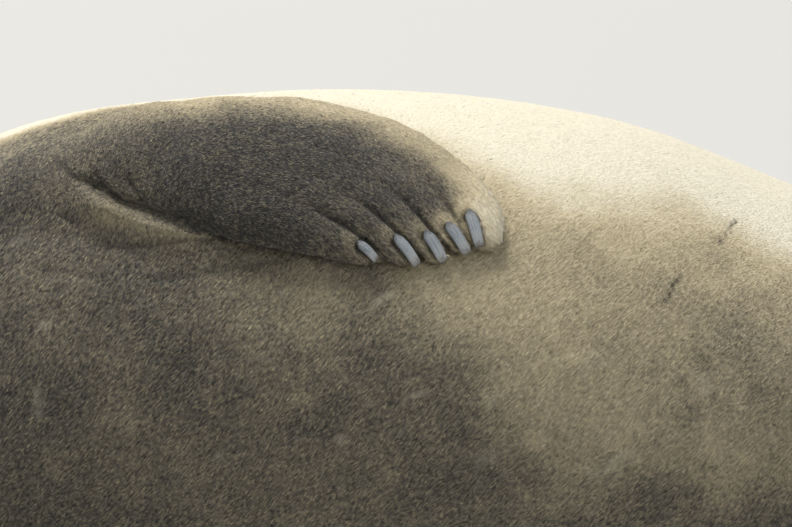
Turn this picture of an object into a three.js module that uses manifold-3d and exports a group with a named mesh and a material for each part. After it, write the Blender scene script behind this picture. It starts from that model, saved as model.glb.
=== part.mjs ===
// A young elephant seal, life size, asleep on its left side and back: head towards -X, belly up and
// away, the right fore flipper laid back along its upper flank. Millimetres, +Z up, ground at z = 0.
import * as THREE from "three";
import { mergeVertices } from "three/addons/utils/BufferGeometryUtils.js";
import Module from "manifold-3d";

const wasm = await Module();
wasm.setup();

// Driving sizes
const MIDDLE = 1022; // distance from the nose to the frame's origin, along X
const SIDE_SHIFT = -14; // centres the whole animal on Y
const GAP = 0.3; // between touching pieces
const SINK_SOFT = 12; // height over which the blubber flattens on to the ground
const SPINE_BOW = 60; // how far nose and tail curl towards the belly side
const CHEST_AT = 735; // thickest station, from the nose
const HEAD_ROOT = 240;
const HEAD_LEVEL = 88;
const HEAD_YAW = THREE.MathUtils.degToRad(8);
const HEAD_ROLL = THREE.MathUtils.degToRad(12); // how far the crown turns up from facing -Y
const EYE_RADIUS = 20;
const SIDES = 48; // facets round the body

// Stations of the trunk: distance from the nose, half width, top height, widest level and how far
// its section would sink below the ground if it weren't flattened there
const TRUNK = [
  [150, 84, 178, 88, -8],
  [240, 124, 230, 106, 0],
  [300, 149, 276, 122, 4],
  [380, 188, 344, 149, 9],
  [475, 226, 399, 173, 18],
  [600, 254, 420, 188, 26],
  [735, 266, 425, 192, 30],
  [870, 260, 406, 186, 30],
  [990, 240, 362, 168, 26],
  [1150, 198, 288, 134, 20],
  [1300, 153, 222, 104, 15],
  [1450, 112, 166, 78, 11],
  [1600, 76, 124, 57, 6],
  [1720, 50, 92, 44, 2],
];

// The face's soft volumes in the head's own axes: forward, to the animal's right, crown-ward.
// Each is centre, then radii; paired ones are mirrored.
const HEAD_MASSES = [
  { at: [62, 0, 4], radii: [108, 92, 84] }, // cranium
  { at: [74, 0, -36], radii: [104, 80, 62] }, // throat
  { at: [122, 0, -8], radii: [86, 76, 66] }, // face
  { at: [174, 0, -8], radii: [62, 58, 50] }, // muzzle
  { at: [204, 0, 12], radii: [38, 36, 33] }, // nose
  { at: [222, 0, 2], radii: [20, 29, 26] }, // nose tip, drooping over the lip
  { at: [188, 26, -14], radii: [40, 30, 27], paired: true }, // whisker pads
  { at: [156, 0, -46], radii: [68, 43, 24] }, // lower jaw
  { at: [198, 0, -41], radii: [21, 27, 16] }, // chin
  { at: [114, 46, 43], radii: [34, 20, 16], paired: true }, // brows
];
const HEAD_BLEND = 20;
const NECK_BLEND = 60;
const NECK_END = 420; // distance from the nose past which the head no longer swells the trunk
const EYE_AT = [134, 58, 25];
const EYE_LOOKS = new THREE.Vector3(0.5, 0.8, 0.34).normalize();
const NOSTRIL = { at: [231, 9, 14], radii: [9, 3.4, 6.5] };
const EAR_HOLE = { at: [58, 84, 6], radii: [5, 9, 2.6] };
const MOUTH_LEVEL = -31;
const MOUTH_CORNER = 128; // forward of the head's root
const MOUTH_GAPE = 0.8;

// Hermite interpolation through rows whose first number is the abscissa.
function along(rows, s) {
  const t = Math.min(Math.max(s, rows[0][0]), rows[rows.length - 1][0]);
  let i = rows.findIndex((row, k) => k > 0 && t <= row[0]) - 1;
  if (i < 0) i = rows.length - 2;
  const span = rows[i + 1][0] - rows[i][0];
  const u = (t - rows[i][0]) / span;
  const slope = (k, j) => {
    const a = rows[Math.max(k - 1, 0)];
    const b = rows[Math.min(k + 1, rows.length - 1)];
    return (b[j] - a[j]) / (b[0] - a[0]);
  };
  return rows[i].slice(1).map((from, n) => {
    const j = n + 1;
    const to = rows[i + 1][j];
    const u2 = u * u;
    const u3 = u2 * u;
    return (
      (2 * u3 - 3 * u2 + 1) * from +
      (u3 - 2 * u2 + u) * span * slope(i, j) +
      (3 * u2 - 2 * u3) * to +
      (u3 - u2) * span * slope(i + 1, j)
    );
  });
}

const spineSide = (s) => SIDE_SHIFT + SPINE_BOW * ((s - CHEST_AT) / CHEST_AT) ** 2;

// Signed distance estimate to an ellipse or ellipsoid, from an offset and its radii.
function ellipticDistance(offset, radii) {
  const near = Math.hypot(...offset.map((v, i) => v / radii[i]));
  const steep = Math.hypot(...offset.map((v, i) => v / radii[i] ** 2));
  return steep < 1e-9 ? -Math.min(...radii) : (near * (near - 1)) / steep;
}

function blend(a, b, k) {
  const h = Math.max(k - Math.abs(a - b), 0) / k;
  return Math.min(a, b) - (h * h * k) / 4;
}

function trunkField(x, y, z) {
  const s = x + MIDDLE;
  const [halfWidth, top, level, sink] = along(TRUNK, s);
  const past = Math.max(TRUNK[0][0] - s, s - TRUNK[TRUNK.length - 1][0], 0);
  const unpressed = z < SINK_SOFT ? 2 * Math.sqrt(SINK_SOFT * Math.max(z, 0)) - SINK_SOFT : z;
  const up = unpressed - level;
  const reach = up > 0 ? top - level : level + sink;
  const section = ellipticDistance([y - spineSide(s), up], [halfWidth, reach]);
  return past > 0 ? Math.hypot(past, Math.max(section, 0)) : section;
}

// The head's own axes in the world
const forward = new THREE.Vector3(-Math.cos(HEAD_YAW), Math.sin(HEAD_YAW), 0);
const crown = new THREE.Vector3(0, -Math.cos(HEAD_ROLL), Math.sin(HEAD_ROLL));
const rightward = new THREE.Vector3().crossVectors(forward, crown).normalize();
crown.crossVectors(rightward, forward).normalize();
const headOrigin = new THREE.Vector3(HEAD_ROOT - MIDDLE, spineSide(HEAD_ROOT), HEAD_LEVEL);
const headFrame = new THREE.Matrix4().makeBasis(forward, rightward, crown).setPosition(headOrigin);
const toHead = headFrame.clone().invert();
const inHead = (...at) => new THREE.Vector3(...at).applyMatrix4(headFrame);

function headField(x, y, z) {
  const p = new THREE.Vector3(x, y, z).applyMatrix4(toHead);
  const distances = HEAD_MASSES.map(({ at, radii, paired }) => {
    const side = paired ? Math.abs(p.y) : p.y;
    return ellipticDistance([p.x - at[0], side - at[1], p.z - at[2]], radii);
  });
  return distances.reduce((all, d) => blend(all, d, HEAD_BLEND));
}

function bodyField(x, y, z) {
  let f = trunkField(x, y, z);
  if (x + MIDDLE < NECK_END) f = blend(f, headField(x, y, z), NECK_BLEND);
  return Math.max(f, -z);
}

// The line that the body's sections are measured from
function axisAt(s) {
  const [, , level] = along(TRUNK, s);
  if (s >= HEAD_ROOT) return [spineSide(s), level];
  const t = 1 - s / HEAD_ROOT;
  const point = inHead(t * HEAD_ROOT, 0, -6);
  return [point.y, point.z + (level - HEAD_LEVEL) * (1 - t) ** 2];
}

const MARCH = 4; // step of the search outwards
const HALVINGS = 24;

// Distance from the axis to the surface at a station, in a direction turned up from the -Y side
function radiusAt(s, angle, field = bodyField) {
  const [cy, cz] = axisAt(s);
  const dy = -Math.cos(angle);
  const dz = Math.sin(angle);
  const at = (r) => field(s - MIDDLE, cy + dy * r, cz + dz * r);
  let inner = 0;
  let outer = MARCH;
  while (at(outer) < 0) {
    inner = outer;
    outer += MARCH;
  }
  for (let i = 0; i < HALVINGS; i++) {
    const middle = (inner + outer) / 2;
    if (at(middle) < 0) inner = middle;
    else outer = middle;
  }
  return inner;
}

// A closed BufferGeometry from rings of points, each end closed by a fan on its mean point.
function geometryOfRings(rings) {
  const sides = rings[0].length;
  const points = rings.flat();
  const faces = [];
  for (let i = 0; i + 1 < rings.length; i++) {
    for (let j = 0; j < sides; j++) {
      const a = i * sides + j;
      const b = i * sides + ((j + 1) % sides);
      faces.push(a, b, a + sides, b, b + sides, a + sides);
    }
  }
  for (const [ring, start, turned] of [
    [rings[0], 0, true],
    [rings[rings.length - 1], (rings.length - 1) * sides, false],
  ]) {
    const middle = ring.reduce((sum, p) => sum.add(p), new THREE.Vector3()).divideScalar(sides);
    const hub = points.push(middle) - 1;
    for (let j = 0; j < sides; j++) {
      const a = start + j;
      const b = start + ((j + 1) % sides);
      faces.push(...(turned ? [hub, b, a] : [hub, a, b]));
    }
  }
  const g = new THREE.BufferGeometry().setFromPoints(points);
  g.setIndex(faces);
  return g;
}

function solidOf(geometry) {
  const bare = geometry.clone();
  bare.deleteAttribute("normal");
  bare.deleteAttribute("uv");
  const merged = mergeVertices(bare, 1e-3);
  const vertProperties = new Float32Array(merged.attributes.position.array);
  const triVerts = new Uint32Array(merged.index.array);
  const solid = new wasm.Manifold(new wasm.Mesh({ numProp: 3, vertProperties, triVerts }));
  if (solid.volume() > 0) return solid;
  triVerts.reverse(); // the rings ran the other way round
  return new wasm.Manifold(new wasm.Mesh({ numProp: 3, vertProperties, triVerts }));
}

function geometryOf(solid) {
  const { vertProperties, triVerts } = solid.getMesh();
  const g = new THREE.BufferGeometry();
  g.setAttribute("position", new THREE.BufferAttribute(new Float32Array(vertProperties), 3));
  g.setIndex(new THREE.BufferAttribute(new Uint32Array(triVerts), 1));
  return g;
}

const largest = (solid) => solid.decompose().sort((a, b) => b.volume() - a.volume())[0];
const joined = (solids) => largest(solids.reduce((all, s) => all.add(s)));

// Stations from one to another, spaced evenly
const evenly = (from, to, count) =>
  Array.from({ length: count + 1 }, (_, i) => from + ((to - from) * i) / count);

function bodyRing(s, proud = 0) {
  const [cy, cz] = axisAt(s);
  return Array.from({ length: SIDES }, (_, j) => {
    const angle = -(2 * Math.PI * j) / SIDES;
    const r = radiusAt(s, angle) + proud;
    return new THREE.Vector3(s - MIDDLE, cy - Math.cos(angle) * r, cz + Math.sin(angle) * r);
  });
}

const ringCache = new Map();
function bodyLength(stations) {
  const rings = stations.map((s) => {
    if (!ringCache.has(s)) ringCache.set(s, bodyRing(s));
    return ringCache.get(s);
  });
  return solidOf(geometryOfRings(rings));
}

// Lengths of the body, end to end and parted by the gap
const HEAD_STATIONS = [1, 3, 6, 10, 15, 21, 28, ...evenly(36, HEAD_ROOT - GAP, 19)];
const LENGTHS = {
  neck: evenly(HEAD_ROOT, 470 - GAP, 10),
  chest: evenly(470, 800 - GAP, 9),
  belly: evenly(800, 1150 - GAP, 9),
  hindquarters: evenly(1150, 1700, 13),
};
const trunkSolids = Object.fromEntries(
  Object.entries(LENGTHS).map(([name, stations]) => [name, bodyLength(stations)]),
);

// The body a little proud of itself, to cut back what lies on it
function clearance(from, to, count) {
  return solidOf(geometryOfRings(evenly(from, to, count).map((s) => bodyRing(s, GAP * 3))));
}

// A rounded limb through stations of position, half width in the plane and half thickness across it
const LIMB_SIDES = 8;
const CAP_TURNS = [72, 38].map(THREE.MathUtils.degToRad);
function limbRings(stations, sides = LIMB_SIDES) {
  const at = (i) => new THREE.Vector3(...stations[i].slice(0, 3));
  const last = stations.length - 1;
  const ring = (centre, ahead, w, t) => {
    const across = new THREE.Vector3(-ahead.y, ahead.x, 0).normalize();
    return Array.from({ length: sides }, (_, j) => {
      const turn = (2 * Math.PI * j) / sides;
      return centre
        .clone()
        .addScaledVector(across, Math.cos(turn) * w)
        .add(new THREE.Vector3(0, 0, Math.sin(turn) * t));
    });
  };
  const heading = (i) => at(Math.min(i + 1, last)).sub(at(Math.max(i - 1, 0))).setZ(0).normalize();
  const cap = (i, sign) =>
    CAP_TURNS.map((turn) => {
      const [, , , w, t] = stations[i];
      const centre = at(i).addScaledVector(heading(i), sign * w * Math.sin(turn));
      return ring(centre, heading(i), w * Math.cos(turn), t * Math.cos(turn));
    });
  return [
    ...cap(0, -1),
    ...stations.map(([, , , w, t], i) => ring(at(i), heading(i), w, t)),
    ...cap(last, 1).reverse(),
  ];
}

// Fore flipper, laid out flat: along the body, round it towards the belly, height over the skin,
// half width, half thickness.
const PALM = [
  [-45, 30, -16, 36, 26],
  [30, 27, 6, 50, 30],
  [75, 15, 12, 62, 23],
  [110, 3, 13, 71, 17],
  [140, -6, 11, 70, 13],
  [163, -10, 9, 60, 9],
];
const DIGITS = [
  [
    [120, 42, 12, 25, 13],
    [180, 22, 11, 22, 11],
    [224, -12, 9, 20, 9],
    [244, -42, 8, 18, 8],
    [249, -60, 7, 14, 6.5],
  ],
  [
    [115, 18, 12, 20, 12],
    [170, -6, 10, 18, 10],
    [210, -38, 8, 15, 8],
    [231, -66, 7, 11, 6.5],
  ],
  [
    [110, -6, 12, 19, 12],
    [160, -28, 10, 16, 10],
    [194, -53, 8, 13.5, 8],
    [215, -75, 7, 10.5, 6.5],
  ],
  [
    [105, -27, 12, 18, 12],
    [150, -48, 10, 15, 10],
    [180, -67, 8, 13, 8],
    [198, -81, 7, 10, 6.5],
  ],
  [
    [98, -47, 12, 17, 12],
    [140, -64, 10, 14, 10],
    [164, -74, 8, 12, 8],
    [176, -79, 7, 9.5, 6.5],
  ],
];
// Claws: base and tip on the back of each digit, half width
const CLAWS = [
  [[239.3, -49.8], [246, -73], 4.1],
  [[225.8, -61], [238, -79], 4.1],
  [[211.8, -68.4], [223, -86], 4],
  [[192.5, -71.8], [206, -89], 3.7],
  [[168.6, -76.3], [180, -86], 3.1],
];
const CLAW_RISE = 13.2; // height over the skin of the flank at the claw's base
const CLAW_DROP = 4.6; // how much lower its tip is
const CLAW_TAPER = 0.12;
const CLAW_THICK = 2.2;
const CLAW_SIDES = 6;
const PALM_SIDES = 16;
const FLIPPER_ROUND = 245; // radius that turns height round the flank into an angle

const FLIPPERS = {
  right: { root: 540, angle: 62.4, side: 1, slant: 0, splay: 0 },
  left: { root: 548, angle: 194, side: -1, slant: -6, splay: 0.05 },
};

// Bends a flat flipper point round the flank.
function drape(p, { root, angle, side, slant, splay }) {
  const turn = THREE.MathUtils.degToRad(slant);
  const a = p.x * Math.cos(turn) - p.y * Math.sin(turn);
  const b = p.x * Math.sin(turn) + p.y * Math.cos(turn);
  const s = root + a;
  const theta = THREE.MathUtils.degToRad(angle) + (side * b) / FLIPPER_ROUND;
  const [cy, cz] = axisAt(s);
  const r = radiusAt(s, theta, trunkField);
  const x = s - MIDDLE;
  const y = cy - Math.cos(theta) * r;
  const z = cz + Math.sin(theta) * r;
  const e = 0.5;
  const normal = new THREE.Vector3(
    trunkField(x + e, y, z) - trunkField(x - e, y, z),
    trunkField(x, y + e, z) - trunkField(x, y - e, z),
    trunkField(x, y, z + e) - trunkField(x, y, z - e),
  ).normalize();
  const lift = p.z + splay * Math.max(a, 0);
  return new THREE.Vector3(x, y, z).addScaledVector(normal, lift);
}

function drapedLimb(stations, flipper, sides) {
  const rings = limbRings(stations, sides).map((ring) => ring.map((p) => drape(p, flipper)));
  return solidOf(geometryOfRings(rings));
}

// Adds a station between each two, so that a limb bends smoothly.
const finer = (stations) =>
  stations.flatMap((row, i) =>
    i === 0 ? [row] : [row.map((v, k) => (v + stations[i - 1][k]) / 2), row],
  );

function clawStations([[a0, b0], [a1, b1], w], proud = 0) {
  return [0, 0.5, 1].map((t) => [
    a0 + (a1 - a0) * t,
    b0 + (b1 - b0) * t,
    CLAW_RISE - CLAW_DROP * t * t,
    w * (1 - CLAW_TAPER * t) + proud,
    CLAW_THICK + proud,
  ]);
}

const flank = clearance(430, 900, 14);
const foreFlippers = {};
const claws = {};
for (const [side, place] of Object.entries(FLIPPERS)) {
  const palm = drapedLimb(finer(PALM), place, PALM_SIDES);
  const digits = DIGITS.map((digit) => drapedLimb(finer(digit), place));
  let flipper = joined([palm, ...digits]).subtract(flank);
  CLAWS.forEach((claw, i) => {
    flipper = flipper.subtract(drapedLimb(clawStations(claw, GAP), place, CLAW_SIDES));
    claws[`claw_${side}_${i + 1}`] = drapedLimb(clawStations(claw), place, CLAW_SIDES);
  });
  foreFlippers[side] = flipper;
}

// Hind flippers, one laid on the other with their soles together
const ANKLE_AT = 1650;
const ANKLE_HALF = 40;
const TOE_SIDES = 7;
const HIND_REACH = [362, 324, 300, 320, 356];
const HIND_FAN = [-21, -10, 0, 10, 21]; // degrees that each toe leaves the ankle at
const HIND_BASE = 17; // sideways step between toes at the ankle
const HIND_CREST = 6; // how far the toes rise off the leg's level before they come down
const HIND_CURL = 0.24; // how far the outer toes bow back in by their tips
const WEB_THICK = 8;
const WEB_NOTCH = 0.93; // of the mean reach of the toes beside it
const HIND = {
  left: { level: 17, turn: 5 },
  right: { level: 50, turn: -6 },
};

function hindFlipper({ level, turn }) {
  const ankleSide = spineSide(ANKLE_AT);
  const place = (d, y, lift) => {
    const a = THREE.MathUtils.degToRad(turn);
    return [
      ANKLE_AT - MIDDLE + d * Math.cos(a) - y * Math.sin(a),
      ankleSide + d * Math.sin(a) + y * Math.cos(a),
      lift,
    ];
  };
  // A point of the fan: toe number, which may lie between two, and share of its reach
  const fanPoint = (toe, reach, t) => {
    const slope = Math.tan(THREE.MathUtils.degToRad(along(HIND_FAN.map((v, i) => [i, v]), toe)[0]));
    const d = reach * t;
    return [d, (toe - 2) * HIND_BASE + slope * d * (1 - HIND_CURL * t)];
  };
  const toeLimb = (_, i) =>
    [0.05, 0.35, 0.68, 1].map((t) => {
      const [d, y] = fanPoint(i, HIND_REACH[i], t);
      const lift = level + HIND_CREST * Math.sin(Math.PI * t) * (1 - t);
      return [...place(d, y, lift), 20 - 5 * t, 14 - 7.5 * t];
    });
  const leg = [
    [...place(-110, 0, level + 4), ANKLE_HALF, 14],
    [...place(-40, 0, level), ANKLE_HALF, 15],
    [...place(40, 0, level), 46, 14],
  ];
  const edge = HIND_REACH.flatMap((reach, i) => {
    const tip = fanPoint(i, reach, 0.98);
    if (i === HIND_REACH.length - 1) return [fanPoint(i, reach, 0.5), tip].reverse();
    const notch = fanPoint(i + 0.5, (reach + HIND_REACH[i + 1]) / 2, WEB_NOTCH);
    return i === 0 ? [fanPoint(0, reach, 0.5), tip, notch] : [tip, notch];
  });
  const flat = [[0, -ANKLE_HALF], ...edge, [0, ANKLE_HALF]];
  const outline = new THREE.Shape(flat.map(([d, y]) => new THREE.Vector2(...place(d, y, 0))));
  const web = new THREE.ExtrudeGeometry(outline, { depth: WEB_THICK, bevelEnabled: false });
  web.translate(0, 0, level - WEB_THICK / 2);
  const rows = [leg, ...HIND_FAN.map(toeLimb)];
  const limbs = rows.map((stations) => solidOf(geometryOfRings(limbRings(stations, TOE_SIDES))));
  return joined([...limbs, solidOf(web)]);
}

const TAIL = [
  [1600, -34, 62, 26, 16],
  [1690, -46, 50, 24, 13],
  [1750, -50, 40, 20, 9],
  [1786, -50, 34, 12, 6],
].map(([s, y, z, w, t]) => [s - MIDDLE, spineSide(s) + y, z, w, t]);

const rump = clearance(1400, 1700 + GAP * 3, 10);
const tailLimb = (proud) => {
  const stations = finer(TAIL).map(([x, y, z, w, t]) => [x, y, z, w + proud, t + proud]);
  return solidOf(geometryOfRings(limbRings(stations)));
};
const tail = tailLimb(0).subtract(rump);
const hindRight = hindFlipper(HIND.right).subtract(rump).subtract(tailLimb(GAP * 2));
const hindLeft = hindFlipper(HIND.left).subtract(rump).subtract(tailLimb(GAP * 2));

// Head: lids, eyes, nostrils, ear holes and the mouth
function ball(centre, radii) {
  const g = new THREE.SphereGeometry(1, 16, 10).scale(...radii);
  g.applyMatrix4(new THREE.Matrix4().extractRotation(headFrame));
  g.translate(centre.x, centre.y, centre.z);
  return solidOf(g);
}

function lidRing(hand) {
  const looks = new THREE.Vector3(EYE_LOOKS.x, EYE_LOOKS.y * hand, EYE_LOOKS.z);
  const turn = new THREE.Quaternion().setFromUnitVectors(new THREE.Vector3(0, 0, 1), looks);
  const g = new THREE.TorusGeometry(EYE_RADIUS * 0.8, 4.6, 8, 22).scale(1.12, 0.94, 1);
  g.applyQuaternion(turn);
  const at = new THREE.Vector3(EYE_AT[0], EYE_AT[1] * hand, EYE_AT[2]);
  at.addScaledVector(looks, EYE_RADIUS * 0.62);
  g.translate(at.x, at.y, at.z);
  g.applyMatrix4(headFrame);
  return solidOf(g);
}

let head = bodyLength(HEAD_STATIONS);
const eyes = {};
for (const [side, hand] of [["right", 1], ["left", -1]]) {
  const centre = inHead(EYE_AT[0], EYE_AT[1] * hand, EYE_AT[2]);
  head = head.add(lidRing(hand));
  head = head.subtract(ball(centre, Array(3).fill(EYE_RADIUS + GAP)));
  eyes[side] = ball(centre, Array(3).fill(EYE_RADIUS));
  for (const { at, radii } of [NOSTRIL, EAR_HOLE]) {
    head = head.subtract(ball(inHead(at[0], at[1] * hand, at[2]), radii));
  }
}
const jawBox = (lift) => {
  const g = new THREE.BoxGeometry(200, 300, 100);
  g.translate(MOUTH_CORNER + 100 - lift, 0, MOUTH_LEVEL - 50 + lift);
  g.applyMatrix4(headFrame);
  return solidOf(g);
};
const jaw = head.intersect(jawBox(0));
head = head.subtract(jawBox(MOUTH_GAPE));

const FUR = { dark: 0x57534a, mid: 0x7d7462 };
const coat = (color) => new THREE.MeshStandardMaterial({ color, roughness: 0.85, metalness: 0 });
const horn = new THREE.MeshStandardMaterial({ color: 0x8794a0, roughness: 0.5, metalness: 0 });
const wetEye = new THREE.MeshStandardMaterial({ color: 0x0d0a08, roughness: 0.08, metalness: 0 });

const seal = new THREE.Group();
function addPiece(name, solid, material) {
  const mesh = new THREE.Mesh(geometryOf(largest(solid)), material);
  mesh.name = name;
  seal.add(mesh);
}
addPiece("head", head, coat(FUR.mid));
addPiece("lower_jaw", jaw, coat(FUR.mid));
for (const [side, solid] of Object.entries(eyes)) addPiece(`eye_${side}`, solid, wetEye);
for (const [name, solid] of Object.entries(trunkSolids)) addPiece(name, solid, coat(FUR.mid));
for (const [side, solid] of Object.entries(foreFlippers)) {
  addPiece(`fore_flipper_${side}`, solid, coat(FUR.dark));
}
for (const [name, solid] of Object.entries(claws)) addPiece(name, solid, horn);
addPiece("hind_flipper_right", hindRight, coat(FUR.dark));
addPiece("hind_flipper_left", hindLeft, coat(FUR.dark));
addPiece("tail", tail, coat(FUR.dark));

export default seal;
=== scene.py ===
"""A young elephant seal at rest: one skin with its coat of short fur, claws, eyes and whiskers.

Lengths are millimetres in the formulas and metres in Blender. The skin follows the same rounded volumes
as the solids, smoothly joined and drawn in by the depth of the coat. The face's details, the folds, the
rump and the ends of the digits are shaped further here.
"""

import math

import bpy
import numpy as np
import openvdb
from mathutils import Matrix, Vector


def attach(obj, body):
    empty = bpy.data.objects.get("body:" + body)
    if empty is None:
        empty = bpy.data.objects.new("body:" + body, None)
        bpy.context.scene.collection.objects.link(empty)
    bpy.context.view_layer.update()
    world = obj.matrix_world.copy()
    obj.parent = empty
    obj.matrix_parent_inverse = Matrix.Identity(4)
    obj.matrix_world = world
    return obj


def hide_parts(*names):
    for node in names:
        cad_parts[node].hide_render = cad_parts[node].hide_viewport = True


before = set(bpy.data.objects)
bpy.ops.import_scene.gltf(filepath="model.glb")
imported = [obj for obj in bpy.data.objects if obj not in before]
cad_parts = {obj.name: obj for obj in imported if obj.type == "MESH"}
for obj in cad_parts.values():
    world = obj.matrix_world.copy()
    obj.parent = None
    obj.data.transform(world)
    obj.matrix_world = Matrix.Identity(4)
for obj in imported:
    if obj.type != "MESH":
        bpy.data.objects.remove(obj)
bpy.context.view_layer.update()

MM = 0.001
MIDDLE = 1022.0  # nose to the frame's origin, along X
SIDE_SHIFT = -14.0
SPINE_BOW = 60.0
CHEST_AT = 735.0
SINK_SOFT = 12.0
HEAD_ROOT = 240.0
HEAD_LEVEL = 88.0
HEAD_YAW = math.radians(8)
HEAD_ROLL = math.radians(12)
EYE_RADIUS = 20.0
COAT_DEPTH = 1.2
GROUND_SKIN = 0.6  # height of the pressed underside

# Stations from the nose that bound what the head, the fore flippers and the rear shape
HEAD_END = 430
FLIPPER_START, FLIPPER_END = 440, 860
REAR_START = 1430
HIND_START = 1700
PHOTO_START, PHOTO_END = 455, 1010  # the stretch that the photo shows
NEAR_HAND_ABOVE = 200  # height over which the right fore flipper lies
FAR_HAND_BEYOND = 40  # Y past which the left one lies
BODY, NEAR_HAND, FAR_HAND, HIND_LIMBS = range(4)  # regions of the skin

# Distance from the nose, half width, top height, widest level, sink below ground
TRUNK = [
    (150, 84, 178, 88, -8),
    (240, 124, 230, 106, 0),
    (300, 149, 276, 122, 4),
    (380, 188, 344, 149, 9),
    (475, 226, 399, 173, 18),
    (600, 254, 420, 188, 26),
    (735, 266, 425, 192, 30),
    (870, 260, 406, 186, 30),
    (990, 240, 362, 168, 26),
    (1150, 198, 288, 134, 20),
    (1300, 153, 222, 104, 15),
    (1450, 112, 166, 78, 11),
    (1600, 76, 124, 57, 6),
    (1720, 50, 92, 44, 2),
]

# Head volumes in the head's axes: forward, to the animal's right, crown-ward; centre, radii, paired
HEAD_MASSES = [
    ((62, 0, 4), (108, 92, 84), False),
    ((74, 0, -36), (104, 80, 62), False),
    ((122, 0, -8), (86, 76, 66), False),
    ((174, 0, -8), (62, 58, 50), False),
    ((204, 0, 12), (38, 36, 33), False),
    ((222, 0, 2), (20, 29, 26), False),
    ((188, 26, -14), (40, 30, 27), True),
    ((156, 0, -46), (68, 43, 24), False),
    ((198, 0, -41), (21, 27, 16), False),
    ((114, 46, 43), (34, 20, 16), True),
]
HEAD_BLEND = 20.0
NECK_BLEND = 60.0
EYE_AT = (134, 58, 25)
EYE_LOOKS = np.array((0.5, 0.8, 0.34)) / np.linalg.norm((0.5, 0.8, 0.34))
MOUTH_LEVEL = -31.0
MOUTH_CORNER = 128.0
# Details of the face in the same axes, mirrored: centre, radii. A nostril's sideways place is measured
# from its slit, by nostril_offset.
NOSE_RIM = ((224, 14, 10), (15, 10, 15))
NOSTRIL = ((237, 0, 9), (16, 4.2, 9.8))
EAR_MOUND = ((58, 80, 8), (13, 10, 9))
EAR_HOLE = ((58, 88, 8), (5.5, 10, 2.4))
NOSTRIL_APART, NOSTRIL_SLANT = 13.5, 0.25  # sideways from the middle, and outwards with height
LID_LONG, LID_HIGH = 1.14, 0.86  # stretch of the lids' ring along and across the eye
LID_RING, LID_AHEAD, LID_THICK = 15.5, 13.5, 5.0

# Fore flipper laid flat: along the body, round it, height over the skin, half width, half thickness
PALM = [
    (-45, 30, -16, 36, 26),
    (30, 27, 6, 50, 30),
    (75, 15, 12, 62, 23),
    (110, 3, 13, 71, 17),
    (140, -6, 11, 70, 13),
    (163, -10, 9, 60, 9),
]
DIGITS = [
    [
        (120, 42, 12, 25, 13),
        (180, 22, 11, 22, 11),
        (224, -12, 9, 20, 9),
        (244, -42, 8, 18, 8),
        (249, -60, 7, 14, 6.5),
    ],
    [(115, 18, 12, 20, 12), (170, -6, 10, 18, 10), (210, -38, 8, 15, 8), (228.5, -62, 7, 10.5, 6)],
    [(110, -6, 12, 19, 12), (160, -28, 10, 16, 10), (194, -53, 8, 13.5, 8), (211.5, -71, 7, 10, 6)],
    [(105, -27, 12, 18, 12), (150, -48, 10, 15, 10), (180, -67, 8, 13, 8), (194.5, -77.5, 7, 9.5, 6)],
    [(98, -47, 12, 17, 12), (140, -64, 10, 14, 10), (164, -74, 8, 12, 8), (174, -78, 7, 9, 6)],
]
# Claws on the same plane: base, tip, half width
CLAWS = [
    ((239.3, -49.8), (246, -73), 4.1),
    ((225.8, -61), (238, -79), 4.1),
    ((211.8, -68.4), (223, -86), 4.0),
    ((192.5, -71.8), (206, -89), 3.7),
    ((168.6, -76.3), (180, -86), 3.1),
]
CLAW_RISE = 13.4  # height of a claw over the flank at its base
BED_DROP, CLAW_DROP = 4.6, 4.4  # how much lower its bed and its middle line are at the tip
FLIPPER_ROUND = 245.0  # radius that turns height round the flank into an angle
FLIPPERS = {
    "right": dict(root=540.0, angle=math.radians(62.4), side=1, slant=0.0, splay=0.0),
    "left": dict(root=548.0, angle=math.radians(194), side=-1, slant=math.radians(-6), splay=0.05),
}

# Hind flippers: toes fanned from the ankle, and the tail between them
ANKLE_AT = 1650.0
HIND_REACH = (362, 324, 300, 320, 356)
HIND_FAN = (-21, -10, 0, 10, 21)
HIND_BASE = 17.0
HIND_CURL = 0.24
HIND_CREST = 6.0
WEB_NOTCH = 0.93
HIND = {"left": dict(level=17.0, turn=5.0), "right": dict(level=50.0, turn=-6.0)}
TAIL = [(1600, -34, 62, 26, 16), (1690, -46, 50, 24, 13), (1750, -50, 40, 20, 9), (1786, -50, 34, 12, 6)]


def spine_side(s):
    return SIDE_SHIFT + SPINE_BOW * ((s - CHEST_AT) / CHEST_AT) ** 2


def hermite_table(rows, step=1.0):
    """Columns of the rows, sampled finely with the same easing as the solids."""
    rows = np.array(rows, float)
    at = np.arange(rows[0, 0], rows[-1, 0] + step, step)
    i = np.clip(np.searchsorted(rows[:, 0], at, side="right") - 1, 0, len(rows) - 2)
    span = rows[i + 1, 0] - rows[i, 0]
    u = ((at - rows[i, 0]) / span)[:, None]
    before = np.maximum(np.arange(len(rows)) - 1, 0)
    after = np.minimum(np.arange(len(rows)) + 1, len(rows) - 1)
    slope = (rows[after] - rows[before]) / (rows[after, :1] - rows[before, :1])
    span = span[:, None]
    value = (
        (2 * u**3 - 3 * u**2 + 1) * rows[i]
        + (u**3 - 2 * u**2 + u) * span * slope[i]
        + (3 * u**2 - 2 * u**3) * rows[i + 1]
        + (u**3 - u**2) * span * slope[i + 1]
    )
    return at, value[:, 1:]


TRUNK_AT, TRUNK_VALUE = hermite_table(TRUNK)


def trunk_size(s):
    return [np.interp(s, TRUNK_AT, TRUNK_VALUE[:, k]) for k in range(4)]


def round_trunk(x, y, z):
    """Stations from the nose, and angles round the trunk's axis, turned up from the -Y side."""
    s = x + MIDDLE
    level = trunk_size(s)[2]
    return s, np.arctan2(z - level, -(y - spine_side(s)))


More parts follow.
